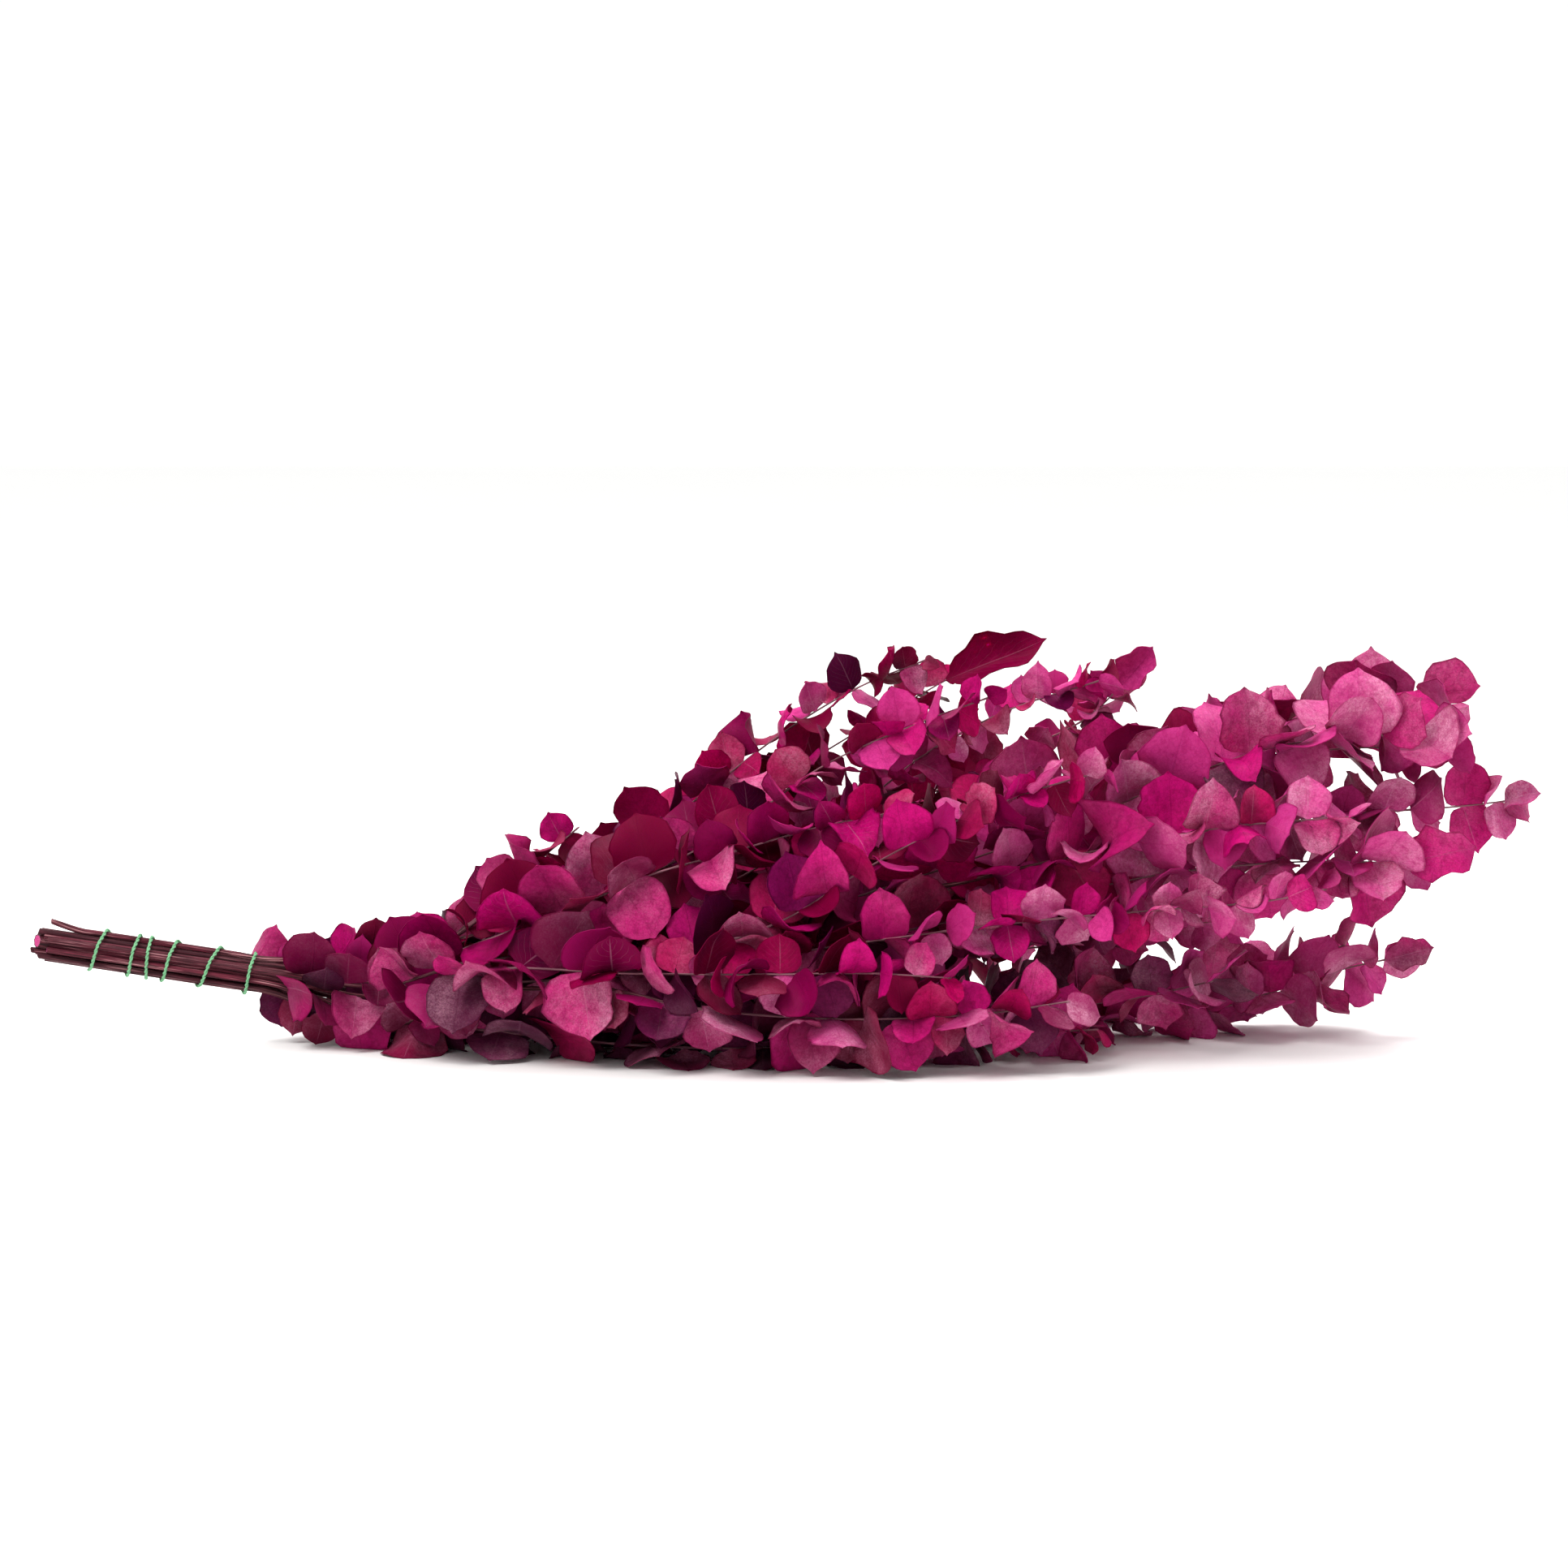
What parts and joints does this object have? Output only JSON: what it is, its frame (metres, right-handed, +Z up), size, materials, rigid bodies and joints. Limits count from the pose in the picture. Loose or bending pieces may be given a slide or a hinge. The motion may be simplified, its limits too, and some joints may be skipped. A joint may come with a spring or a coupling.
{
  "type": "dried eucalyptus bunch",
  "caption": "Tied bunch of preserved round-leaved eucalyptus, dyed magenta, lying on its side: straight stem ends held by a thread, leafy shoots fanning out.",
  "frame": {"origin": "middle of the foot print, on the surface that the bunch lies on", "axes": "+X from the cut stem ends to the leaf tips, -Y the front, +Z up"},
  "size_m": [0.7049, 0.2489, 0.1904],
  "materials": {
    "foliage_magenta": "waxy preserved leaf, magenta, satin",
    "foliage_crimson": "waxy preserved leaf, deep crimson, satin",
    "foliage_pink": "waxy preserved leaf, dusty pink, satin",
    "foliage_plum": "waxy preserved leaf, dusty plum, satin",
    "thread": "mint green binding thread"
  },
  "bodies": {
    "root": {"leafy_stem_01": "foliage_plum", "leafy_stem_02": "foliage_crimson", "leafy_stem_03": "foliage_magenta", "leafy_stem_04": "foliage_pink", "leafy_stem_05": "foliage_crimson", "leafy_stem_06": "foliage_pink", "leafy_stem_07": "foliage_magenta", "leafy_stem_08": "foliage_magenta", "leafy_stem_09": "foliage_pink", "leafy_stem_10": "foliage_pink", "leafy_stem_11": "foliage_pink", "leafy_stem_12": "foliage_magenta", "leafy_stem_13": "foliage_plum", "leafy_stem_14": "foliage_magenta", "leafy_stem_15": "foliage_plum", "leafy_stem_16": "foliage_plum", "leafy_stem_17": "foliage_crimson", "leafy_stem_18": "foliage_crimson", "leafy_stem_19": "foliage_plum", "binding_thread": "thread"}
  },
  "joints": []
}
